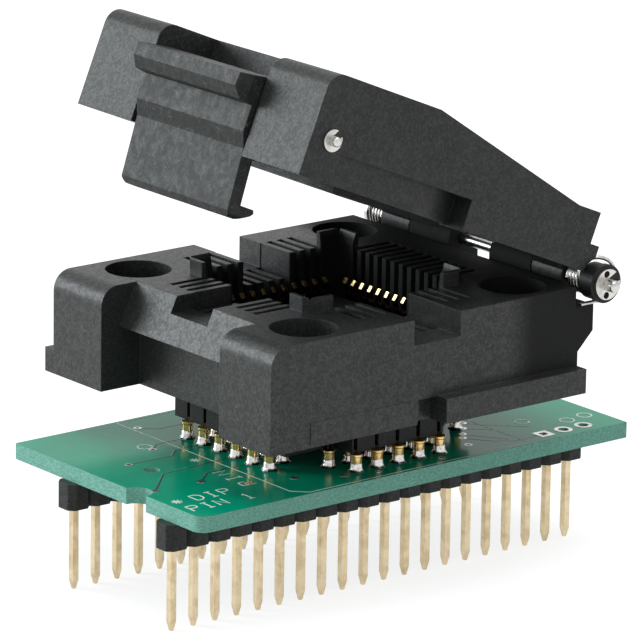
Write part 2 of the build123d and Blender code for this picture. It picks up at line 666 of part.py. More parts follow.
# Lid: side outline, hollow underside, pusher, knuckles, latch slot, finger pockets and bores
lid_axis = (LID_TO_AXIS, -AXIS_UNDER_LID)
slope = (LID_TOP - LID_REAR_TOP) / (LID_SLOPE_END - LID_SLOPE_START)
arc_bottom = (LID_TO_AXIS - sqrt(LID_ARC_R**2 - AXIS_UNDER_LID**2), 0)
lid_heel = LID_TO_AXIS - HEEL_TO_AXIS
heel_drop = sqrt(LID_ARC_R**2 - HEEL_TO_AXIS**2)
arc_top = (lid_heel, heel_drop - AXIS_UNDER_LID)
arc_turn = (atan2(heel_drop, -HEEL_TO_AXIS) + atan2(AXIS_UNDER_LID, arc_bottom[0] - LID_TO_AXIS)) / 2
arc_middle = (
    LID_TO_AXIS + LID_ARC_R * cos(arc_turn),
    -AXIS_UNDER_LID + LID_ARC_R * sin(arc_turn),
)
with BuildPart() as lid:
    with BuildSketch(lid_side(0)):
        with BuildLine():
            Polyline(
                arc_bottom,
                (0, 0),
                (0, LID_TOP),
                (LID_SLOPE_START, LID_TOP),
                (LID_SLOPE_END, LID_REAR_TOP),
                (LID_REAR, LID_REAR_TOP),
                (LID_REAR, LID_STEP_V),
                (lid_heel, LID_STEP_V),
                arc_top,
            )
            ThreePointArc(arc_top, arc_middle, arc_bottom)
        make_face()
    extrude(amount=LID_HALF_WIDTH, both=True)
    front_edges = lid.edges().filter_by(Axis.Y).sort_by(Axis.Z)[-2:].sort_by(Axis.X)[0]
    fillet(front_edges, LID_FRONT_ROUND)
    # hollow under the roof
    with BuildSketch(lid_side(0)):
        with BuildLine():
            Polyline(
                (LID_HOLLOW_START, -PAST),
                (LID_HOLLOW_START, LID_TOP - LID_ROOF),
                (LID_SLOPE_START, LID_TOP - LID_ROOF),
                (LID_HOLLOW_END, LID_TOP - LID_ROOF - slope * (LID_HOLLOW_END - LID_SLOPE_START)),
                (LID_HOLLOW_END, -PAST),
                close=True,
            )
        make_face()
    extrude(amount=LID_HALF_WIDTH - LID_WALL - POCKET_DEPTH, both=True, mode=Mode.SUBTRACT)
    # square pusher that bears on the chip, recessed in the middle
    chip_u = LID_TO_AXIS - AXIS_FROM_CENTRE
    with BuildSketch(lid_level(-PUSHER_PROUD)):
        with Locations((chip_u, 0)):
            Rectangle(2 * PUSHER_HALF, 2 * PUSHER_HALF)
    extrude(until=Until.NEXT)
    with BuildSketch(lid_level(-PUSHER_PROUD)):
        with Locations((chip_u, 0)):
            Rectangle(2 * PUSHER_RECESS, 2 * PUSHER_RECESS)
    extrude(amount=PUSHER_RECESS_DEPTH, mode=Mode.SUBTRACT)
    # slot for the latch at the front
    with BuildSketch(lid_level(-PAST)):
        with Locations((-PAST, 0)):
            Rectangle(LATCH_SLOT_BACK + PAST, 2 * LATCH_SLOT_HALF, align=(Align.MIN, Align.CENTER))
    extrude(amount=LID_TOP + 2 * PAST, mode=Mode.SUBTRACT)
    # finger pockets in the two sides, shallow at the front and scooped at the back
    for side in SIDES:
        with BuildSketch(lid_level(-PAST)):
            face = side * LID_HALF_WIDTH
            floor_start = face - side * POCKET_SHALLOW
            floor_end = face - side * POCKET_DEPTH
            with BuildLine():
                Line((POCKET_START, face + side), (POCKET_START, floor_start))
                curve_start = (POCKET_END - POCKET_CURVE, floor_start - side * POCKET_DIP)
                Line((POCKET_START, floor_start), curve_start)
                ThreePointArc(
                    curve_start,
                    (POCKET_END - POCKET_CREST, floor_end + side * POCKET_BELLY),
                    (POCKET_END, floor_end),
                )
                Line((POCKET_END, floor_end), (POCKET_END, face + side))
                Line((POCKET_END, face + side), (POCKET_START, face + side))
            make_face()
        extrude(amount=POCKET_TOP + PAST, mode=Mode.SUBTRACT)
    # knuckles on the hinge pin, webbed to the rear wall
    for side in SIDES:
        inner = KNUCKLE_SPLIT + KNUCKLE_GAP
        start, length = span(side, inner, KNUCKLE_OUTER - inner)
        with BuildSketch(lid_side(start)):
            with Locations(lid_axis):
                Circle(KNUCKLE_R)
            Polygon(
                (LID_TO_AXIS - KNUCKLE_R, -AXIS_UNDER_LID),
                (LID_TO_AXIS, KNUCKLE_R - AXIS_UNDER_LID),
                (lid_heel, LID_STEP_V),
                (LID_REAR - 1, LID_STEP_V),
                (LID_REAR - 1, 0),
                (arc_bottom[0], 0),
                align=None,
            )
            with Locations(lid_axis):
                Circle(PIN_BORE_R, mode=Mode.SUBTRACT)
        extrude(amount=length)
        with BuildSketch(lid_side(start)):
            with Locations(lid_axis):
                Circle(PIN_BORE_R)
        extrude(amount=length, mode=Mode.SUBTRACT)
    # bore for the latch pin, right through both cheeks
    with BuildSketch(lid_side(0)):
        with Locations((LATCH_AXIS_U, LATCH_AXIS_V)):
            Circle(LATCH_PIN_R + HINGE_PLAY)
    extrude(amount=LID_HALF_WIDTH + PAST, both=True, mode=Mode.SUBTRACT)
keep(lid, "lid")

# Latch: thumb ledge, stepped plate, pivot boss and hook toe, drawn in the lid's frame
LATCH_OUTLINE = [
    (1.70, 7.72),
    (0.10 - LEDGE_REACH, LEDGE_TOP_V),
    (-LEDGE_REACH, LEDGE_FACE_V),
    (0.80 - LEDGE_REACH, LEDGE_FOOT_V),
    (-0.46, 4.68),
    (-0.46, 2.20),
    (0.22, 0.70),
    (0.74, -5.20),
    (1.20, -5.68),
    (2.10, LATCH_TOE_V),
    (3.55, -5.00),
    (3.85, -4.70),
    (3.70, -4.36),
    (2.05, -4.33),
    (1.70, -0.10),
    (1.90, 2.60),
    (1.70, 5.20),
]
with BuildPart() as latch:
    with BuildSketch(lid_side(0)):
        Polygon(*LATCH_OUTLINE, align=None)
        with Locations((LATCH_AXIS_U, LATCH_AXIS_V)):
            Circle(LATCH_BOSS_R)
    extrude(amount=LATCH_HALF_WIDTH, both=True)
    # round front of the thumb ledge, with one fine grip line along it
    ledge_edge = latch.edges().filter_by(Axis.Y).sort_by(Axis.X)[0:2].sort_by(Axis.Z)[-1]
    fillet(ledge_edge, LEDGE_ROUND)
    with BuildSketch(lid_side(0)):
        with Locations((GRIP_LINE_IN - LEDGE_REACH, LEDGE_TOP_V - GRIP_LINE_DOWN)):
            Circle(GRIP_LINE_R)
    extrude(amount=LATCH_HALF_WIDTH - LEDGE_ROUND, both=True, mode=Mode.SUBTRACT)
    # rounded lower corners of the plate
    for side in SIDES:
        with BuildSketch(lid_front(-PAST)):
            with Locations((side * LATCH_HALF_WIDTH, LATCH_TOE_V)):
                Rectangle(2 * LATCH_CORNER_R, 2 * LATCH_CORNER_R)
            with Locations((side * (LATCH_HALF_WIDTH - LATCH_CORNER_R), LATCH_TOE_V + LATCH_CORNER_R)):
                Circle(LATCH_CORNER_R, mode=Mode.SUBTRACT)
        extrude(amount=LATCH_SLOT_BACK, mode=Mode.SUBTRACT)
    # bevelled ends of the thumb ledge
    for side in SIDES:
        with BuildSketch(lid_level(LEDGE_FOOT_V - CLEAR)):
            Polygon(
                (-LEDGE_REACH - CLEAR, side * (LATCH_HALF_WIDTH + CLEAR)),
                (-LEDGE_REACH - CLEAR, side * (LATCH_HALF_WIDTH - LEDGE_BEVEL / 4)),
                (LEDGE_BEVEL - LEDGE_REACH, side * (LATCH_HALF_WIDTH + CLEAR)),
                align=None,
            )
        extrude(amount=LATCH_AXIS_V, mode=Mode.SUBTRACT)
    # gap in the boss for the spring, and the bore for the pin
    with BuildSketch(lid_side(0)):
        with Locations((LATCH_GAP_FRONT, LATCH_AXIS_V - LATCH_GAP_REACH)):
            Rectangle(
                LATCH_SLOT_BACK - LATCH_GAP_FRONT, 2 * LATCH_GAP_REACH,
                align=(Align.MIN, Align.MIN),
            )
    extrude(amount=LATCH_GAP_HALF, both=True, mode=Mode.SUBTRACT)
    with BuildSketch(lid_side(0)):
        with Locations((LATCH_AXIS_U, LATCH_AXIS_V)):
            Circle(LATCH_PIN_R + HINGE_PLAY)
    extrude(amount=LATCH_HALF_WIDTH + PAST, both=True, mode=Mode.SUBTRACT)
keep(latch, "latch")

# Latch pin and the clips on its ends
with BuildPart() as latch_pin:
    with BuildSketch(lid_side(LATCH_PIN_HALF)):
        with Locations((LATCH_AXIS_U, LATCH_AXIS_V)):
            Circle(LATCH_PIN_R)
    extrude(amount=2 * LATCH_PIN_HALF)
    fillet(latch_pin.edges().filter_by(GeomType.CIRCLE), LATCH_PIN_DOME)
keep(latch_pin, "latch_pin")

with BuildPart() as latch_clips:
    for side in SIDES:
        start, length = span(side, LATCH_CLIP_START, LATCH_CLIP_THICKNESS)
        with BuildSketch(lid_side(start)):
            with Locations((LATCH_AXIS_U, LATCH_AXIS_V)):
                Circle(LATCH_CLIP_R)
                Circle(LATCH_PIN_R + CLIP_GRIP_GAP, mode=Mode.SUBTRACT)
            with Locations(Location((LATCH_AXIS_U, LATCH_AXIS_V), LATCH_CLIP_TURN)):
                Rectangle(
                    LATCH_CLIP_R, LATCH_CLIP_MOUTH, align=(Align.MIN, Align.CENTER), mode=Mode.SUBTRACT
                )
        extrude(amount=length)
keep(latch_clips, "latch_clips")

# Latch spring: a small coil round the latch pin in the boss's gap, with a leg to the slot's back
# wall and a short one that leans on the plate
spring_steps = LATCH_SPRING_TURNS * LATCH_SPRING_STEPS
coil_start = LATCH_SPRING_WIRE_R + CLEAR - LATCH_GAP_HALF
coil_points = []
for step in range(spring_steps + 1):
    turn = radians(90 + 360 * step / LATCH_SPRING_STEPS)
    coil_points.append((
        LATCH_AXIS_U + LATCH_SPRING_COIL_R * cos(turn),
        coil_start * (1 - 2 * step / spring_steps),
        LATCH_AXIS_V + LATCH_SPRING_COIL_R * sin(turn),
    ))
wall_leg = (
    LATCH_SLOT_BACK - LATCH_SPRING_WIRE_R - CLEAR,
    coil_start,
    LATCH_AXIS_V + LATCH_SPRING_COIL_R,
)
lean_r = LATCH_AXIS_U - LATCH_GAP_FRONT - LATCH_SPRING_WIRE_R - CLEAR
lean_turn = radians(150)
plate_leg = (
    LATCH_AXIS_U + lean_r * cos(lean_turn),
    -coil_start,
    LATCH_AXIS_V + lean_r * sin(lean_turn),
)
with BuildPart() as latch_spring:
    with BuildLine() as wire:
        Polyline(*[lid_point(*point) for point in [wall_leg] + coil_points + [plate_leg]])
    with BuildSketch(wire.line ^ 0):
        RegularPolygon(LATCH_SPRING_WIRE_R, 4)
    sweep(path=wire.line, transition=Transition.RIGHT)
keep(latch_spring, "latch_spring")
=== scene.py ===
"""Looks, stage and camera for the PLCC to DIP adapter, laid out as a Blender add-on."""

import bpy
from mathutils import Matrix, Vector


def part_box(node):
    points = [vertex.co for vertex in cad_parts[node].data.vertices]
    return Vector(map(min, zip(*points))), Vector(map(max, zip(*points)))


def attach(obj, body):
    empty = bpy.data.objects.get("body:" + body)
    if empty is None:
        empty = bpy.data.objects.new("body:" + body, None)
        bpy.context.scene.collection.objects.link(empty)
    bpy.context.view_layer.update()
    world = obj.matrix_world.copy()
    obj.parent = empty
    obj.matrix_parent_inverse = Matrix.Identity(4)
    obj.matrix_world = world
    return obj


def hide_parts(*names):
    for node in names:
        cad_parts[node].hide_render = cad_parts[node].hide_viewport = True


bl_info = {
    "name": "Chip Socket Adapter",
    "version": (1, 0, 0),
    "blender": (4, 5, 0),
    "location": "3D View > Sidebar > Adapter",
    "description": "Dresses a lidded chip socket on a circuit board with two rows of pins",
    "category": "Object",
}

from math import cos, pi, radians, sin

import bpy
from mathutils import Matrix, Vector

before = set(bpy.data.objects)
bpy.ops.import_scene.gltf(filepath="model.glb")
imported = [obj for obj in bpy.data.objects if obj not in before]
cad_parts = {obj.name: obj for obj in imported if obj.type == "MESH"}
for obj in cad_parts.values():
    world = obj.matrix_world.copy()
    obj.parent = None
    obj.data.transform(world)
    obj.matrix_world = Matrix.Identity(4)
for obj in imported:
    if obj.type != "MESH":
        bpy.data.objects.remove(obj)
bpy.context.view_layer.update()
MM = 0.001


# Shader maths


class Shade:
    """A shader socket that can be used in an expression."""

    def __init__(self, graph, socket):
        self.graph = graph
        self.socket = socket

    def math(self, operation, *others):
        return self.graph.node("ShaderNodeMath", {"operation": operation}, (self, *others))

    def __add__(self, other):
        return self.math("ADD", other)

    def __radd__(self, other):
        return self.math("ADD", other)

    def __sub__(self, other):
        return self.math("SUBTRACT", other)

    def __rsub__(self, other):
        return self.graph.node("ShaderNodeMath", {"operation": "SUBTRACT"}, (other, self))

    def __mul__(self, other):
        return self.math("MULTIPLY", other)

    def __rmul__(self, other):
        return self.math("MULTIPLY", other)

    def highest(self, other):
        return self.math("MAXIMUM", other)

    def band(self, low, high):
        """0 below low, 1 above high, and a smooth step between."""
        return self.graph.node(
            "ShaderNodeMapRange",
            {"interpolation_type": "SMOOTHSTEP", "clamp": True},
            {"Value": self, "From Min": low, "From Max": high, "To Min": 0.0, "To Max": 1.0},
        )


class Graph:
    """One material and the nodes that are added to it."""

    def __init__(self, name):
        self.material = bpy.data.materials.new(name)
        self.material.use_nodes = True
        self.tree = self.material.node_tree
        self.shader = self.tree.nodes["Principled BSDF"]
        self.place = self.node("ShaderNodeTexCoord", {}, (), "Object")

    @classmethod
    def of_tree(cls, tree):
        """A graph for a node tree that exists, such as the world's."""
        graph = cls.__new__(cls)
        graph.tree = tree
        return graph

    def node(self, kind, settings, inputs, output=0):
        """Add a node, with its settings first and then the values or links of its sockets."""
        made = self.tree.nodes.new(kind)
        for key, value in settings.items():
            if key == "stops":
                ramp = made.color_ramp.elements
                while len(ramp) < len(value):
                    ramp.new(0.5)
                for element, (position, colour) in zip(ramp, value):
                    element.position = position
                    element.color = colour
            else:
                setattr(made, key, value)
        pairs = inputs.items() if isinstance(inputs, dict) else enumerate(inputs)
        for key, value in pairs:
            self.feed(made.inputs[key], value)
        return Shade(self, made.outputs[output])

    def feed(self, socket, value):
        if isinstance(value, Shade):
            self.tree.links.new(value.socket, socket)
        else:
            socket.default_value = value

    def noise(self, scale, detail=3.0, roughness=0.55, stretch=(1, 1, 1), distortion=0.0):
        """Noise from 0 to 1, with about scale lumps in a millimetre."""
        where = self.place
        if stretch != (1, 1, 1):
            where = self.node("ShaderNodeMapping", {}, {"Vector": self.place, "Scale": stretch})
        return self.node(
            "ShaderNodeTexNoise",
            {},
            {"Vector": where, "Scale": scale * 1000, "Detail": detail, "Roughness": roughness,
             "Distortion": distortion},
        )

    def mix(self, factor, first, second):
        """Blend two colours."""
        return self.node(
            "ShaderNodeMix", {"data_type": "RGBA"}, {0: factor, 6: first, 7: second}, 2
        )

    def axis(self, which):
        """One object coordinate, in millimetres."""
        return self.node("ShaderNodeSeparateXYZ", {}, (self.place,), which) * 1000.0

    def soft_edges(self, radius):
        """Rounded edges for a sharp solid: the new normal, and how far it leaves the flat one."""
        bevel = self.node("ShaderNodeBevel", {"samples": 6}, {"Radius": radius * MM})
        flat = self.node("ShaderNodeNewGeometry", {}, (), "True Normal")
        agree = self.node("ShaderNodeVectorMath", {"operation": "DOT_PRODUCT"}, (bevel, flat), 1)
        return bevel, (1.0 - agree).band(0.01, 0.22)

    def bump(self, height, strength, depth, normal=None):
        inputs = {"Height": height, "Strength": strength, "Distance": depth * MM}
        if normal is not None:
            inputs["Normal"] = normal
        return self.node("ShaderNodeBump", {}, inputs)

    def finish(self, colour=None, roughness=None, normal=None, metallic=0.0, coat=None, **constants):
        inputs = {"Base Color": colour, "Roughness": roughness, "Normal": normal, "Coat Weight": coat}
        for key, value in inputs.items():
            if value is not None:
                self.feed(self.shader.inputs[key], value)
        self.feed(self.shader.inputs["Metallic"], metallic)
        for key, value in constants.items():
            self.shader.inputs[key.replace("_", " ")].default_value = value
        return self.material


# What shows where moulded plastic is specked, scuffed or rubbed along an edge; the paler edges are partly a
# painted highlight
PALE_FIBRE_AND_EDGE_HIGHLIGHT = (0.15, 0.15, 0.145, 1.0)
RUBBED_EDGE_AND_HIGHLIGHT = (0.13, 0.13, 0.125, 1.0)


def tint(colour, gain=1.0):
    return (colour[0] * gain, colour[1] * gain, colour[2] * gain, 1.0)


def hairlines(g, scale, stretch, seed, width=0.02):
    """Thin wandering scratches: the places where a stretched noise passes through its middle."""
    turned_place = g.node(
        "ShaderNodeMapping", {},
        {"Vector": g.place, "Rotation": (0.4 * seed, 0.9 * seed, 1.7 * seed), "Scale": stretch},
    )
    wander = g.node(
        "ShaderNodeTexNoise", {},
        {"Vector": turned_place, "Scale": scale * 1000, "Detail": 1.5, "Roughness": 0.4, "Distortion": 0.6},
    )
    line = 1.0 - (wander - 0.5).math("ABSOLUTE").band(0.0, width)
    patchy = g.noise(scale * 1.3, 2.0, 0.5, (1 + 0.2 * seed, 1, 1)).band(0.48, 0.66)
    return line * patchy


def painted_inside_shade(g):
    """Where painted shade goes: 1 in the socket's cavity and on its deck under the lid, else 0."""
    from_middle = (g.axis(1) - SOCKET_Y).math("ABSOLUTE")
    across = (g.axis(0) - SOCKET_X).math("ABSOLUTE").band(CAVITY_HALF + 0.1, CAVITY_HALF + 0.3)
    cavity = (1.0 - across) * (1.0 - from_middle.band(CAVITY_HALF + 0.1, CAVITY_HALF + 0.3))
    inboard = 1.0 - from_middle.band(BODY_HALF_WIDTH - 0.2, BODY_HALF_WIDTH - 0.05)
    under_lid = g.axis(0).band(UNDER_LID_FROM, UNDER_LID_FROM + 4.0) * inboard
    return cavity.highest(under_lid)


def moulded_plastic(name, colour, edge_rub_and_highlight=0.35, grain=1.0, sheen=1.0, paint_inside_shade=False):
    """Black glass-filled plastic: clouded, specked with pale fibres, grained, and paler along its edges,
    partly rubbed and partly a painted highlight; with paint_inside_shade, painted shade in the cavity and
    under the lid.
    """
    g = Graph(name)
    normal, edges = g.soft_edges(0.16)
    mottle = g.noise(0.14, 4.0, 0.6)
    flow = g.noise(0.5, 5.0, 0.7, (1, 1, 1.4), 0.6)
    cloud = g.noise(1.3, 5.0, 0.7)
    grit = g.noise(3.4, 3.0, 0.65)
    specks = g.noise(5.2, 1.0, 0.4).band(0.68, 0.74)
    base = g.mix(mottle.band(0.3, 0.7), tint(colour, 0.8), tint(colour, 1.2))
    base = g.mix(flow.band(0.45, 0.75) * 0.25, base, tint(colour, 2.0))
    base = g.mix(grit.band(0.45, 0.7) * 0.5, base, tint(colour, 2.6))
    base = g.mix(specks * 0.35, base, PALE_FIBRE_AND_EDGE_HIGHLIGHT)
    # Paler edges: partly rubbed, partly a painted highlight
    paler = edges * g.noise(1.6, 4.0).band(0.35, 0.62) * edge_rub_and_highlight
    base = g.mix(paler, base, RUBBED_EDGE_AND_HIGHLIGHT)
    rough = 0.36 + 0.08 * mottle + 0.12 * cloud + 0.1 * grit
    coat = (0.2 + 0.35 * (cloud * 0.5 + grit * 0.5).band(0.40, 0.60)) * sheen
    if paint_inside_shade:
        # Painted shade: the cavity and the deck under the lid get a much darker colour, no coat and more
        # roughness
        inside = painted_inside_shade(g)
        base = g.mix(inside * 0.75, base, tint(colour, 0.25))
        coat = coat * (1.0 - inside)
        rough = rough + 0.2 * inside
    height = g.noise(7.5, 3.0, 0.6) * 0.5 + grit * 0.5 + specks * 0.3
    surface = g.bump(height, 0.7 * grain, 0.06, normal)
    return g.finish(base, rough, surface, coat=coat, Specular_IOR_Level=0.2, Coat_Roughness=0.34)


def worn_plastic(name, colour):
    """The latch's plastic: as the body's, with faint rubbed patches and fine scuffs in every direction."""
    g = Graph(name)
    normal, edges = g.soft_edges(0.16)
    mottle = g.noise(0.3, 4.0, 0.6)
    paler = g.noise(0.9, 5.0, 0.72, (1, 1, 1), 0.5).band(0.38, 0.74)
    grit = g.noise(3.2, 3.0, 0.65)
    scuffs = hairlines(g, 0.55, (1, 0.5, 0.8), 1, 0.012)
    for seed, scale in ((2, 0.9), (3, 0.7), (5, 1.2), (7, 1.6)):
        scuffs = scuffs.highest(hairlines(g, scale, (0.6, 1, 0.5), seed, 0.011))
    base = g.mix(mottle.band(0.3, 0.7), tint(colour, 0.8), tint(colour, 1.2))
    base = g.mix(paler * 0.3, base, tint(colour, 2.2))
    base = g.mix(grit.band(0.45, 0.7) * 0.45, base, tint(colour, 2.6))
    base = g.mix(scuffs * 0.55, base, PALE_FIBRE_AND_EDGE_HIGHLIGHT)
    # Paler edges on the latch: partly rubbed, partly a painted highlight
    base = g.mix(edges * g.noise(1.3, 4.0).band(0.3, 0.6) * 0.45, base, PALE_FIBRE_AND_EDGE_HIGHLIGHT)
    height = g.noise(6.5, 3.0, 0.6) * 0.5 + grit * 0.5 + scuffs * 0.15
    rough = 0.40 + 0.12 * mottle + 0.1 * grit
    coat = 0.08 + 0.26 * paler
    surface = g.bump(height, 0.75, 0.06, normal)
    return g.finish(base, rough, surface, coat=coat, Specular_IOR_Level=0.15, Coat_Roughness=0.36)


def gold_plate(name, colour, dark, rough=0.24):
    """Gold plating with a slightly dull, uneven film."""
    g = Graph(name)
    normal = g.soft_edges(0.05)[0]
    film = g.noise(0.8, 4.0, 0.6)
    drawn = g.noise(4.0, 2.0, 0.5, (1, 1, 0.12))
    base = g.mix(film.band(0.35, 0.7) * 0.7 + drawn.band(0.5, 0.7) * 0.3, tint(colour), tint(dark))
    surface = g.bump(drawn, 0.3, 0.02, normal)
    return g.finish(base, rough + 0.14 * film, surface, 1.0)


def contact_gold(name, colour, levels):
    """The socket's contacts: painted shade all over, as in the depth of their slots, with painted highlights
    on their edges and at a few levels.
    """
    g = Graph(name)
    normal, edges = g.soft_edges(0.05)
    film = g.noise(1.6, 4.0, 0.6)
    # Painted highlight: faint on the edges, full in a band at each level, broken up by the film
    painted_glint = edges * 0.35
    for level, half in levels:
        painted_glint = painted_glint.highest(1.0 - (g.axis(2) - level).math("ABSOLUTE").band(half, half + 0.12))
    painted_glint = painted_glint * (1.0 - 0.5 * film.band(0.45, 0.7))
    # The near-black colour is painted shade; the gold shows only where the painted highlight is
    base = g.mix(painted_glint, (0.014, 0.011, 0.006, 1.0), tint(colour))
    rough = 0.22 + 0.12 * film
    return g.finish(base, rough, g.bump(film, 0.2, 0.02, normal), 1.0)


def bright_steel(name, colour, rough=0.22):
    """Turned or drawn steel with fine marks."""
    g = Graph(name)
    normal = g.soft_edges(0.05)[0]
    marks = g.noise(6.0, 3.0, 0.6, (1, 0.25, 1))
    smudge = g.noise(0.9, 4.0, 0.6)
    base = g.mix(smudge.band(0.4, 0.75), tint(colour), tint(colour, 0.62))
    return g.finish(base, rough + 0.16 * smudge, g.bump(marks, 0.2, 0.02, normal), 1.0)


def bright_solder(name, colour):
    """Solder that has flowed and set, smooth with a few dull grains and a dark flux line at the board."""
    g = Graph(name)
    grain = g.noise(2.6, 4.0, 0.6)
    flux = 1.0 - (g.axis(2) - BOARD_TOP).band(0.02, 0.20)
    base = g.mix(grain.band(0.4, 0.7), tint(colour), tint(colour, 0.6))
    base = g.mix(flux * 0.75, base, (0.05, 0.045, 0.03, 1.0))
    return g.finish(base, 0.12 + 0.16 * grain, g.bump(grain, 0.3, 0.04), 1.0)


def solder_mask(name, colour, core):
    """Green solder mask over the board's faces, with the pale laminate on its cut edges."""
    g = Graph(name)
    normal = g.soft_edges(0.08)[0]
    level = g.node("ShaderNodeNewGeometry", {}, (), "True Normal")
    upright = g.node("ShaderNodeSeparateXYZ", {}, (level,), 2)
    face = upright.math("ABSOLUTE").band(0.4, 0.6)
    weave = (g.axis(0) * 11.0).math("SINE") * (g.axis(1) * 11.0).math("SINE")
    cloud = g.noise(0.18, 4.0, 0.6)
    mask = g.mix(cloud.band(0.3, 0.7), tint(colour, 0.92), tint(colour, 1.1))
    fibres = g.noise(3.2, 4.0, 0.75, (1, 1, 3)).band(0.35, 0.65)
    cut = g.mix(fibres, tint(core, 0.72), tint(core, 1.25))
    base = g.mix(face, cut, mask)
    rough = 0.48 - 0.35 * face + 0.05 * cloud
    surface = g.bump(weave * face * 0.25 + g.noise(2.5, 3.0) * 0.4, 0.08, 0.03, normal)
    return g.finish(base, rough, surface, Specular_IOR_Level=0.14)


def covered_copper(name, colour):
    """A copper track seen through the solder mask."""
    g = Graph(name)
    uneven = g.noise(1.6, 4.0, 0.6)
    base = g.mix(uneven.band(0.35, 0.7), tint(colour), tint(colour, 0.6))
    return g.finish(base, 0.14 + 0.05 * uneven, g.bump(uneven, 0.1, 0.02), Specular_IOR_Level=0.14)


def legend_ink(name, colour):
    """White ink, worn thin in places."""
    g = Graph(name)
    thin = g.noise(3.0, 4.0, 0.7).band(0.45, 0.75)
    base = g.mix(thin * 0.5, tint(colour), tint(colour, 0.55))
    return g.finish(base, 0.55 + 0.1 * thin, g.bump(thin, 0.15, 0.02))


def tinned_copper(name, colour):
    """A tinned pad or plated hole, slightly lumpy."""
    g = Graph(name)
    lumps = g.noise(2.0, 3.0, 0.6)
    base = g.mix(lumps.band(0.4, 0.7), tint(colour), tint(colour, 0.65))
    return g.finish(base, 0.2 + 0.15 * lumps, g.bump(lumps, 0.35, 0.04), 1.0)


def painted_hole_shade(name):
    """A painted shadow for the inside of a small hole: a near-black disc, with dust on its lip."""
    g = Graph(name)
    dust = g.noise(4.0, 3.0, 0.6).band(0.5, 0.8)
    return g.finish(g.mix(dust, (0.004, 0.006, 0.005, 1.0), (0.02, 0.03, 0.025, 1.0)), 0.5 + 0.2 * dust)


# Modelling helpers


def only(piece):
    """Make one object the only selected and active one."""
    bpy.ops.object.select_all(action="DESELECT")
    piece.select_set(True)
    bpy.context.view_layer.objects.active = piece


def settle(piece, name, material, body):
    """Finish a piece: its place goes into its mesh, and it gets its name, finish and body."""
    only(piece)
    bpy.ops.object.transform_apply(location=True, rotation=True, scale=True)
    piece.name = name
    piece.data.materials.clear()
    piece.data.materials.append(material)
    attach(piece, body)
    return piece


def join(pieces):
    bpy.ops.object.select_all(action="DESELECT")
    for piece in pieces:
        piece.select_set(True)
    bpy.context.view_layer.objects.active = pieces[0]
    if len(pieces) > 1:
        bpy.ops.object.join()
    return bpy.context.view_layer.objects.active


def copies(piece, places):
    """Copies of a piece at a list of places, each with its own mesh, joined into one."""
    made = []
    for place in places:
        twin = piece.copy()
        twin.data = piece.data.copy()
        twin.location = Vector(place) * MM
        bpy.context.scene.collection.objects.link(twin)
        made.append(twin)
    bpy.data.objects.remove(piece)
    return join(made)


def begin_line(points):
    """An open chain of edges through points, in millimetres: one vertex, extruded from point to point."""
    bpy.ops.object.select_all(action="DESELECT")
    bpy.ops.mesh.primitive_plane_add(size=MM, location=Vector(points[0]) * MM)
    piece = bpy.context.object
    bpy.ops.object.mode_set(mode="EDIT")
    bpy.ops.mesh.select_all(action="SELECT")
    bpy.ops.mesh.merge(type="CENTER")
    for before, after in zip(points, points[1:]):
        step = (Vector(after) - Vector(before)) * MM
        bpy.ops.mesh.extrude_region_move(TRANSFORM_OT_translate={"value": step})
    bpy.ops.object.mode_set(mode="OBJECT")
    return piece


def wire(points, radius, roundness=1):
    """A round wire along points, in millimetres."""
    piece = begin_line(points)
    only(piece)
    bpy.ops.object.convert(target="CURVE")
    line = bpy.context.object
    line.data.bevel_depth = radius * MM
    line.data.bevel_resolution = roundness
    line.data.use_fill_caps = True
    bpy.ops.object.convert(target="MESH")
    line = bpy.context.object
    bpy.ops.object.transform_apply(location=True, rotation=True, scale=True)
    bpy.ops.object.shade_smooth_by_angle(angle=radians(50))
    return line


def film_line(points, width, thickness):
    """A flat raised line through points (x, y) on the board's top: a wire, pressed flat."""
    line = wire([(x, y, BOARD_TOP) for x, y in points], width / 2)
    only(line)
    bpy.ops.object.mode_set(mode="EDIT")
    bpy.ops.mesh.select_all(action="SELECT")
    bpy.ops.transform.resize(
        value=(1, 1, thickness / (width / 2)), center_override=(0, 0, BOARD_TOP * MM)
    )
    bpy.ops.object.mode_set(mode="OBJECT")
    return line


def film_ring(outer, inner, thickness, place, sides=28):
    """A flat ring, or a disc where inner is 0, on the board's top."""
    bpy.ops.object.select_all(action="DESELECT")
    bpy.ops.mesh.primitive_circle_add(
        vertices=sides, radius=outer * MM, fill_type="NGON",
        location=(place[0] * MM, place[1] * MM, BOARD_TOP * MM),
        rotation=(0, 0, pi / sides),
    )
    piece = bpy.context.object
    bpy.ops.object.mode_set(mode="EDIT")
    bpy.ops.mesh.select_all(action="SELECT")
    if inner:
        bpy.ops.mesh.inset(thickness=(outer - inner) * cos(pi / sides) * MM, depth=0)
        bpy.ops.mesh.delete(type="FACE")
        bpy.ops.mesh.select_all(action="SELECT")
    bpy.ops.mesh.extrude_region_move(TRANSFORM_OT_translate={"value": (0, 0, thickness * MM)})
    bpy.ops.mesh.select_all(action="SELECT")
    bpy.ops.mesh.normals_make_consistent(inside=False)
    bpy.ops.object.mode_set(mode="OBJECT")
    only(piece)
    bpy.ops.object.transform_apply(location=True, rotation=True, scale=True)
    return piece


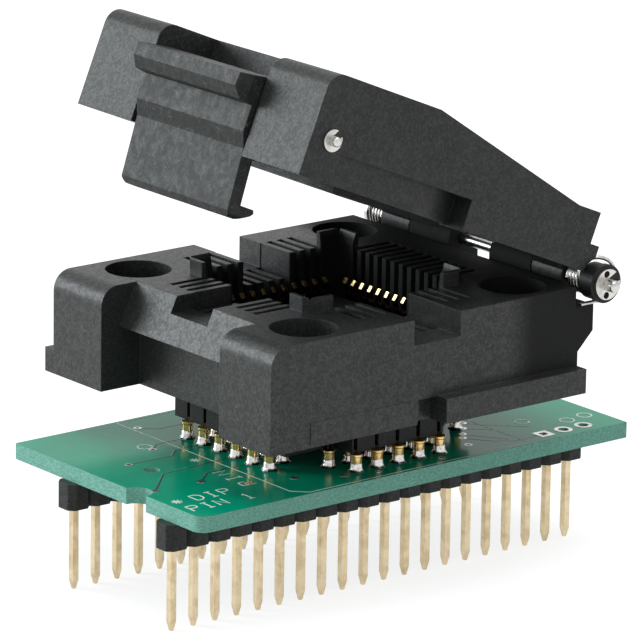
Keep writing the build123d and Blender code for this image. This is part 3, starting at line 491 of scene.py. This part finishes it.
def turned(profile, place, sides=20, axis="Z"):
    """A turned piece: a circle, extruded and scaled through a profile of (radius, height) steps."""
    bpy.ops.object.select_all(action="DESELECT")
    radius, height = profile[0]
    bpy.ops.mesh.primitive_circle_add(
        vertices=sides, radius=radius * MM, fill_type="NGON", location=(0, 0, height * MM)
    )
    piece = bpy.context.object
    bpy.ops.object.transform_apply(location=True, rotation=True, scale=True)
    bpy.ops.object.mode_set(mode="EDIT")
    bpy.ops.mesh.select_all(action="SELECT")
    for after_radius, after_height in profile[1:]:
        bpy.ops.mesh.extrude_region_move(
            TRANSFORM_OT_translate={"value": (0, 0, (after_height - height) * MM)}
        )
        if after_radius != radius:
            size = after_radius / radius
            bpy.ops.transform.resize(value=(size, size, 1), center_override=(0, 0, 0))
        radius, height = after_radius, after_height
    bpy.ops.mesh.select_all(action="SELECT")
    bpy.ops.mesh.normals_make_consistent(inside=False)
    bpy.ops.object.mode_set(mode="OBJECT")
    only(piece)
    if axis == "Y":
        piece.rotation_euler = (pi / 2, 0, 0)
    piece.location = Vector(place) * MM
    bpy.ops.object.transform_apply(location=True, rotation=True, scale=True)
    bpy.ops.object.shade_smooth_by_angle(angle=radians(40))
    return piece


# Where things are, in millimetres

BOARD_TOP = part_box("circuit_board")[1].z / MM
GUIDE_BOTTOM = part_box("tail_guide")[0].z / MM
SIDES = ("left", "right", "near", "far")
SIDE_TURNS = {"right": 0, "far": 90, "left": 180, "near": 270}
SOCKET_X, SOCKET_Y = 1.27, 2.03
# Where the socket plastic gets painted shade: the cavity's half width, the body's half width and where the
# deck under the lid begins
CAVITY_HALF = 8.9
BODY_HALF_WIDTH = 18.15
UNDER_LID_FROM = 9.5
# Where a contact gets a painted highlight, with painted shade everywhere else: height above the origin and
# half the band's width
PAINTED_CONTACT_GLINTS = ((24.8, 0.22), (23.6, 0.14))
OUTER_ROW, INNER_ROW = 11.43, 8.89
CONTACT_PITCH = 1.27
CONTACTS_PER_SIDE = 11
FILM = 0.02

# Legend: the socket's outline, its stars and rings
OUTLINE_HALF = 14.07
OUTLINE_CORNER = 1.3
STAR_ARM = 0.55
STAR_LINES = 4
RING_R = 0.80
STARS = ((-14.0, 2.1), (-23.27, -7.2))
LEGEND_RINGS = ((19.3, -6.4), (23.2, -8.6), (25.7, -8.3), (-15.3, 8.3))

# Copper: tracks end in vias, and the loose vias have none that shows
TRACKS = (
    ((-19.95, 4.62), (-14.9, 4.5), (-13.6, 5.84), (-10.3, 5.84)),
    ((-22.81, -3.34), (-19.06, 0.43), (-12.6, 0.76), (-10.3, 0.76)),
    ((-17.66, -3.57), (-15.6, -1.78), (-10.3, -1.78)),
    ((-15.22, 7.12), (-13.9, 8.38), (-10.3, 8.38)),
    ((-12.18, 13.62), (-10.6, 12.3), (-8.0, 12.3)),
    ((14.33, -3.42), (16.0, -5.4), (18.85, -8.1)),
    ((13.17, -4.79), (15.44, -6.97)),
    ((11.94, -6.25), (14.5, -10.04)),
    ((11.12, -7.22), (12.9, -9.6), (14.77, -10.85), (18.33, -10.75)),
    ((13.2, 2.0), (17.6, 2.0), (20.2, -0.6), (24.8, -0.6)),
    ((13.2, 6.4), (18.8, 6.4), (21.4, 3.8), (25.6, 3.8)),
    ((13.2, 9.6), (19.4, 9.6), (22.0, 12.2), (25.2, 12.2)),
)
LOOSE_VIAS = (
    (-14.42, -6.58), (-9.91, -7.73), (-5.66, -9.88), (-2.28, -10.84), (5.36, -10.95), (10.15, -9.22),
)
# The first jumper pad is square, the others round
VIA_BORE_SHARE = 0.45
PAD_BORE_R = 0.52
SQUARE_PAD_R = 1.15
ROUND_PAD_R = 0.90
JUMPER_PADS = ((18.33, -10.75), (20.87, -10.75), (23.41, -10.75))

# Torsion springs, as in the solids: the coil, the hook that rises over the bushing and the leg on
# the rail. HOOK_TURN gives an angle, and how far the hook has risen and moved out there
WIRE_R = 0.20
WIRE_GAP = 0.02
COIL_R = 1.38
SPRING_START = 13.92
SPRING_TURNS = 4
SPRING_PITCH = 0.44
SPRING_STEPS = 24
HOOK_R = 2.28
HOOK_OUT = 1.04
HOOK_TURN = (
    (169, 0.06, 0.0), (158, 0.20, 0.0), (147, 0.36, 0.01), (136, 0.52, 0.04), (125, 0.67, 0.08),
    (114, 0.80, 0.16), (103, 0.90, 0.31), (92, 0.96, 0.50), (80, 0.99, 0.69), (68, 1.0, 0.85),
    (56, 1.0, 0.95), (44, 1.0, 1.0),
)
RAIL_DROP = 2.16
LEG_STEPS = 14
LEG_LENGTH = 2.10

# Plotter letters on a grid four wide and six high
LETTERS = {
    "D": (((0, 0), (0, 6), (2.4, 6), (4, 4.4), (4, 1.6), (2.4, 0), (0, 0)),),
    "I": (((0.8, 0), (3.2, 0)), ((2, 0), (2, 6)), ((0.8, 6), (3.2, 6))),
    "P": (((0, 0), (0, 6), (3.1, 6), (4, 5.2), (4, 3.8), (3.1, 3), (0, 3)),),
    "N": (((0, 0), (0, 6), (4, 0), (4, 6)),),
    "1": (((0.9, 4.8), (2, 6), (2, 0)), ((0.8, 0), (3.2, 0))),
}
# Each line of lettering: text, middle of its first letter, turn, pitch and height
WORDS = (
    ("DIP", (-20.9, -7.2), 0, 1.6, 1.5),
    ("PIN 1", (-23.1, -9.6), 0, 1.55, 1.5),
    ("PIN", (-14.5, -6.4), 90, 1.9, 1.5),
)


def stations(side):
    """Middle of each contact's receptacle along one side of the socket, as (x, y)."""
    turn = radians(SIDE_TURNS[side])
    made = []
    for k in range(CONTACTS_PER_SIDE):
        along = (k - (CONTACTS_PER_SIDE - 1) / 2) * CONTACT_PITCH
        outer = (k % 2 == 0) == (side in ("left", "right"))
        out = OUTER_ROW if outer else INNER_ROW
        made.append((
            SOCKET_X + out * cos(turn) - along * sin(turn),
            SOCKET_Y + out * sin(turn) + along * cos(turn),
        ))
    return made


# What a user would change


class AdapterSizes(bpy.types.PropertyGroup):
    """Sizes of the drawn detail, in millimetres."""

    line_width: bpy.props.FloatProperty(
        name="Legend line", description="Width of the printed lines, in millimetres", default=0.17, min=0.05
    )
    track_width: bpy.props.FloatProperty(
        name="Track", description="Width of the copper tracks, in millimetres", default=0.26, min=0.05
    )
    fillet_radius: bpy.props.FloatProperty(
        name="Solder fillet", description="Radius of the solder at the board, in millimetres",
        default=0.80, min=0.7
    )
    via_radius: bpy.props.FloatProperty(
        name="Via", description="Radius of a plated via, in millimetres", default=0.42, min=0.1
    )


class AdapterColours(bpy.types.PropertyGroup):
    """Colours of the finishes."""

    plastic: bpy.props.FloatVectorProperty(
        name="Plastic", description="Socket and lid",
        subtype="COLOR", default=(0.018, 0.0195, 0.0192), min=0, max=1
    )
    mask: bpy.props.FloatVectorProperty(
        name="Solder mask", description="Board faces",
        subtype="COLOR", default=(0.0, 0.30, 0.172), min=0, max=1
    )
    laminate: bpy.props.FloatVectorProperty(
        name="Laminate", description="Board edges", subtype="COLOR", default=(0.22, 0.52, 0.42), min=0, max=1
    )
    gold: bpy.props.FloatVectorProperty(
        name="Gold", description="Contacts and receptacles",
        subtype="COLOR", default=(0.83, 0.60, 0.26), min=0, max=1
    )
    pale_gold: bpy.props.FloatVectorProperty(
        name="Pale gold", description="DIP pins", subtype="COLOR", default=(0.74, 0.62, 0.42), min=0, max=1
    )
    steel: bpy.props.FloatVectorProperty(
        name="Steel", description="Hinge parts", subtype="COLOR", default=(0.66, 0.65, 0.62), min=0, max=1
    )
    solder: bpy.props.FloatVectorProperty(
        name="Solder", description="Solder and tinned pads",
        subtype="COLOR", default=(0.72, 0.72, 0.70), min=0, max=1
    )
    copper: bpy.props.FloatVectorProperty(
        name="Track", description="Copper under the mask",
        subtype="COLOR", default=(0.025, 0.12, 0.08), min=0, max=1
    )
    legend: bpy.props.FloatVectorProperty(
        name="Legend", description="Printed lines and letters",
        subtype="COLOR", default=(0.75, 0.85, 0.78), min=0, max=1
    )


def dress(nodes, material):
    """Give CAD nodes a finish in place of the plain one."""
    for name in nodes:
        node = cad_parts[name]
        node.data.materials.clear()
        node.data.materials.append(material)


class ADAPTER_OT_plastic(bpy.types.Operator):
    """Finish the moulded plastic parts"""

    bl_idname = "adapter.plastic"
    bl_label = "Moulded plastic"

    def execute(self, context):
        colour = tuple(context.scene.adapter_colours.plastic)
        dark, darker = tint(colour, 0.7)[:3], tint(colour, 0.5)[:3]
        dress(("socket_body",), moulded_plastic("socket plastic", colour, paint_inside_shade=True))
        dress(("lid",), moulded_plastic("lid plastic", colour, 0.4, sheen=0.6))
        dress(("tail_guide",), moulded_plastic("guide plastic", dark, 0.1, sheen=0.2))
        strip = moulded_plastic("strip plastic", dark, 0.2, sheen=0.5)
        dress(("header_strip_near", "header_strip_far"), strip)
        dress(("hinge_bushing", "hinge_washer"), moulded_plastic("washer plastic", darker, 0.1, 0.5, 0.3))
        dress(("latch",), worn_plastic("latch plastic", colour))
        return {"FINISHED"}


class ADAPTER_OT_metal(bpy.types.Operator):
    """Finish the pins, contacts and hinge parts"""

    bl_idname = "adapter.metal"
    bl_label = "Metal parts"

    def execute(self, context):
        colours = context.scene.adapter_colours
        gold = tuple(colours.gold)
        dress([f"contacts_{side}" for side in SIDES], contact_gold("contact gold", gold, PAINTED_CONTACT_GLINTS))
        pale = tuple(colours.pale_gold)
        dress(("dip_pins_near", "dip_pins_far"), gold_plate("pin gold", pale, (0.52, 0.40, 0.23), 0.3))
        steel = tuple(colours.steel)
        dress(
            ("hinge_pin", "hinge_clip", "latch_pin", "latch_clips"),
            bright_steel("turned steel", steel, 0.2),
        )
        dress(("latch_spring",), bright_steel("latch wire", tint(steel, 0.85)[:3], 0.25))
        return {"FINISHED"}


class ADAPTER_OT_board(bpy.types.Operator):
    """Finish the circuit board"""

    bl_idname = "adapter.board"
    bl_label = "Circuit board"

    def execute(self, context):
        colours = context.scene.adapter_colours
        dress(("circuit_board",), solder_mask("solder mask", tuple(colours.mask), tuple(colours.laminate)))
        return {"FINISHED"}


class ADAPTER_OT_receptacles(bpy.types.Operator):
    """Turn the gold barrels and set them in their solder"""

    bl_idname = "adapter.receptacles"
    bl_label = "Receptacles and solder"

    def execute(self, context):
        colours = context.scene.adapter_colours
        gold = gold_plate("receptacle gold", tuple(colours.gold), (0.50, 0.33, 0.10), 0.16)
        solder = bright_solder("solder", tuple(colours.solder))
        tall = GUIDE_BOTTOM - BOARD_TOP
        barrel = (
            (0.40, 0.1), (0.52, 0.1), (0.52, tall - 0.30), (0.60, tall - 0.24),
            (0.60, tall - 0.04), (0.56, tall),
        )
        reach = context.scene.adapter_sizes.fillet_radius
        fillet = (
            (reach, 0.0), (reach * 0.97, 0.04), (0.69, 0.12), (0.61, 0.30), (0.575, 0.36 * tall),
            (0.55, 0.43 * tall), (0.525, 0.46 * tall),
        )
        for side in SIDES:
            places = [(x, y, BOARD_TOP) for x, y in stations(side)]
            gold_row = copies(turned(barrel, (0, 0, 0)), places)
            settle(gold_row, f"barrels_{side}", gold, "base")
            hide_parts(f"receptacles_{side}")
            settle(copies(turned(fillet, (0, 0, 0)), places), f"solder_{side}", solder, "base")
        return {"FINISHED"}


class ADAPTER_OT_legend(bpy.types.Operator):
    """Print the socket's outline, the stars, the rings and the lettering"""

    bl_idname = "adapter.legend"
    bl_label = "Legend"

    def execute(self, context):
        width = context.scene.adapter_sizes.line_width
        ink = legend_ink("legend ink", tuple(context.scene.adapter_colours.legend))
        left, right = SOCKET_X - OUTLINE_HALF, SOCKET_X + OUTLINE_HALF
        near, far = SOCKET_Y - OUTLINE_HALF, SOCKET_Y + OUTLINE_HALF
        cut = OUTLINE_CORNER
        outline = film_line(
            ((left + cut, near), (right, near), (right, far), (left, far),
             (left, near + cut), (left + cut, near)),
            width, FILM,
        )
        settle(outline, "legend_outline", ink, "base")

        rays = []
        for x, y in STARS:
            for k in range(STAR_LINES):
                turn = k * pi / STAR_LINES
                dx, dy = STAR_ARM * cos(turn), STAR_ARM * sin(turn)
                rays.append(film_line(((x - dx, y - dy), (x + dx, y + dy)), width * 0.8, FILM))
        settle(join(rays), "legend_stars", ink, "base")

        rings = [film_ring(RING_R, RING_R - width, FILM, place) for place in LEGEND_RINGS]
        settle(join(rings), "legend_rings", ink, "base")

        strokes = []
        for text, place, turn, pitch, height in WORDS:
            across = (cos(radians(turn)), sin(radians(turn)))
            unit = height / 6
            for k, letter in enumerate(text):
                for stroke in LETTERS.get(letter, ()):
                    route = []
                    for gx, gy in stroke:
                        u, v = k * pitch + (gx - 2) * unit, (gy - 3) * unit
                        x = place[0] + u * across[0] - v * across[1]
                        y = place[1] + u * across[1] + v * across[0]
                        route.append((x, y))
                    strokes.append(film_line(route, width, FILM))
        settle(join(strokes), "legend_letters", ink, "base")
        return {"FINISHED"}


class ADAPTER_OT_copper(bpy.types.Operator):
    """Lay the tracks, vias and jumper pads"""

    bl_idname = "adapter.copper"
    bl_label = "Copper"

    def execute(self, context):
        sizes = context.scene.adapter_sizes
        colours = context.scene.adapter_colours
        buried = covered_copper("covered copper", tuple(colours.copper))
        tinned = tinned_copper("tinned copper", tuple(colours.solder))
        bore = painted_hole_shade("via bore")
        lines = [film_line(route, sizes.track_width, FILM * 0.6) for route in TRACKS]
        settle(join(lines), "tracks", buried, "base")

        reach = sizes.via_radius
        vias = [route[0] for route in TRACKS] + list(LOOSE_VIAS)
        places = [(x, y, 0) for x, y in vias]
        rings = copies(film_ring(reach, reach * VIA_BORE_SHARE, FILM * 1.4, (0, 0)), places)
        settle(rings, "via_rings", tinned, "base")
        # Near-black discs of painted shade stand in for the holes of the vias
        bores = copies(film_ring(reach * VIA_BORE_SHARE, 0, FILM * 0.7, (0, 0), 16), places)
        settle(bores, "via_bores", bore, "base")

        pads = [film_ring(SQUARE_PAD_R, PAD_BORE_R, FILM * 1.6, JUMPER_PADS[0], 4)]
        pads += [film_ring(ROUND_PAD_R, PAD_BORE_R, FILM * 1.6, place) for place in JUMPER_PADS[1:]]
        settle(join(pads), "jumper_pads", tinned, "base")
        return {"FINISHED"}


class ADAPTER_OT_springs(bpy.types.Operator):
    """Wind the two torsion springs"""

    bl_idname = "adapter.springs"
    bl_label = "Torsion springs"

    def execute(self, context):
        steel = bright_steel("spring wire", tint(tuple(context.scene.adapter_colours.steel), 0.95)[:3], 0.2)
        low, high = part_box("hinge_pin")
        axis_x, axis_z = (low.x + high.x) / 2 / MM, (low.z + high.z) / 2 / MM
        leg_drop = RAIL_DROP - WIRE_R - WIRE_GAP
        for side, word in ((-1, "near"), (1, "far")):
            points = []
            for step in range(SPRING_TURNS * SPRING_STEPS + 1):
                turn = radians(180 - 360 * step / SPRING_STEPS)
                out = SPRING_START + SPRING_PITCH * step / SPRING_STEPS
                points.append((COIL_R * cos(turn), out, COIL_R * sin(turn)))
            coil_end = SPRING_START + SPRING_PITCH * SPRING_TURNS
            for angle, rise, out in HOOK_TURN:
                turn = radians(angle)
                radius = COIL_R + (HOOK_R - COIL_R) * rise
                points.append((radius * cos(turn), coil_end + HOOK_OUT * out, radius * sin(turn)))
            for step in range(1, LEG_STEPS + 1):
                share = step / LEG_STEPS
                turn = radians(HOOK_TURN[-1][0] - (HOOK_TURN[-1][0] + 90) * share)
                radius = HOOK_R + (leg_drop - HOOK_R) * share
                points.append((radius * cos(turn), coil_end + HOOK_OUT, radius * sin(turn)))
            points.append((-LEG_LENGTH, coil_end + HOOK_OUT, -leg_drop))
            route = [(axis_x + x, SOCKET_Y + side * y, axis_z + z) for x, y, z in points]
            spring = settle(wire(route, WIRE_R, 2), f"spring_{word}", steel, "base")
            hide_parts(f"torsion_spring_{word}")
        return {"FINISHED"}


# Light. Each lamp: name, place, aim, size, power in watts and colour
AMBIENT = 0.56
FLOOR_COLOUR = 0.35
FLOOR_GLOW = 0.80
LAMPS = (
    ("key", (-0.54, 0.675, 0.30), (0, 0, 0.025), 0.5, 5.6, (0.90, 0.97, 1.0)),
    ("top", (0.05, -0.05, 0.75), (0, 0, 0.02), 0.5, 2.6, (1.0, 1.0, 1.0)),
)
FLOOR_SIZE = 6.0
# The camera solved from the pins: its lens and sensor in millimetres, its place in metres, its axes
CAMERA_LENS = 301.47
CAMERA_SENSOR = 36.0
CAMERA_PLACE = (-0.30900687, -0.38071743, 0.16158293)
CAMERA_RIGHT = (0.77993594, -0.62566604, 0.01555412)
CAMERA_UP = (0.1572395, 0.21994413, 0.96275663)
CAMERA_BACK = (-0.60578517, -0.74844277, 0.26992175)


def seen_directly(graph):
    """1 for rays that see the background itself, through glass or in a reflection."""
    kinds = ("Camera", "Glossy", "Transmission")
    rays = [graph.node("ShaderNodeLightPath", {}, (), f"Is {kind} Ray") for kind in kinds]
    return rays[0].highest(rays[1]).highest(rays[2])


class ADAPTER_OT_stage(bpy.types.Operator):
    """Lay the floor, the lamps, the sky and the camera"""

    bl_idname = "adapter.stage"
    bl_label = "Stage"

    def execute(self, context):
        bpy.ops.object.select_all(action="DESELECT")
        bpy.ops.mesh.primitive_plane_add(size=FLOOR_SIZE, location=(0, 0, 0))
        floor = context.object
        floor.name = "floor"
        g = Graph("white floor")
        g.finish((FLOOR_COLOUR, FLOOR_COLOUR, FLOOR_COLOUR, 1.0), 0.8)
        g.shader.inputs["Specular IOR Level"].default_value = 0.0
        seen = seen_directly(g)
        matt = Shade(g, g.shader.outputs[0])
        glow = g.node("ShaderNodeEmission", {}, {"Color": (1, 1, 1, 1), "Strength": FLOOR_GLOW})
        bright = g.node("ShaderNodeAddShader", {}, (matt, glow))
        choice = g.node("ShaderNodeMixShader", {}, (seen, matt, bright))
        g.feed(g.tree.nodes["Material Output"].inputs["Surface"], choice)
        floor.data.materials.append(g.material)

        world = bpy.data.worlds.new("studio")
        world.use_nodes = True
        context.scene.world = world
        sky = Graph.of_tree(world.node_tree)
        background = world.node_tree.nodes["Background"]
        background.inputs["Color"].default_value = (1, 1, 1, 1)
        sky.feed(background.inputs["Strength"], AMBIENT + (1.0 - AMBIENT) * seen_directly(sky))

        for name, place, aim, size, power, colour in LAMPS:
            lamp = bpy.data.lights.new(name, "AREA")
            lamp.size = size
            lamp.energy = power
            lamp.color = colour
            holder = bpy.data.objects.new(name, lamp)
            holder.location = place
            holder.rotation_euler = (Vector(aim) - Vector(place)).to_track_quat("-Z", "Y").to_euler()
            context.scene.collection.objects.link(holder)

        camera = bpy.data.cameras.new("camera")
        camera.lens = CAMERA_LENS
        camera.sensor_width = CAMERA_SENSOR
        camera.clip_start = 0.01
        camera.clip_end = 20.0
        holder = bpy.data.objects.new("camera", camera)
        turn = Matrix((CAMERA_RIGHT, CAMERA_UP, CAMERA_BACK)).transposed().to_4x4()
        holder.matrix_world = Matrix.Translation(CAMERA_PLACE) @ turn
        context.scene.collection.objects.link(holder)
        context.scene.camera = holder
        context.scene.view_settings.view_transform = "Standard"
        return {"FINISHED"}


class ADAPTER_PT_panel(bpy.types.Panel):
    """Lists the adapter's settings and steps"""

    bl_idname = "ADAPTER_PT_panel"
    bl_label = "Adapter"
    bl_space_type = "VIEW_3D"
    bl_region_type = "UI"
    bl_category = "Adapter"

    def draw(self, context):
        layout = self.layout
        for group in (context.scene.adapter_sizes, context.scene.adapter_colours):
            for name in group.__annotations__:
                layout.prop(group, name)
        for step in STEPS:
            layout.operator(step.bl_idname)


STEPS = (
    ADAPTER_OT_plastic,
    ADAPTER_OT_metal,
    ADAPTER_OT_board,
    ADAPTER_OT_receptacles,
    ADAPTER_OT_legend,
    ADAPTER_OT_copper,
    ADAPTER_OT_springs,
    ADAPTER_OT_stage,
)
CLASSES = (AdapterSizes, AdapterColours) + STEPS + (ADAPTER_PT_panel,)


def register():
    for entry in CLASSES:
        bpy.utils.register_class(entry)
    bpy.types.Scene.adapter_sizes = bpy.props.PointerProperty(type=AdapterSizes)
    bpy.types.Scene.adapter_colours = bpy.props.PointerProperty(type=AdapterColours)


def unregister():
    del bpy.types.Scene.adapter_sizes
    del bpy.types.Scene.adapter_colours
    for entry in reversed(CLASSES):
        bpy.utils.unregister_class(entry)


def main():
    register()
    for step in STEPS:
        group, name = step.bl_idname.split(".")
        getattr(getattr(bpy.ops, group), name)()


if __name__ == "__main__":
    main()
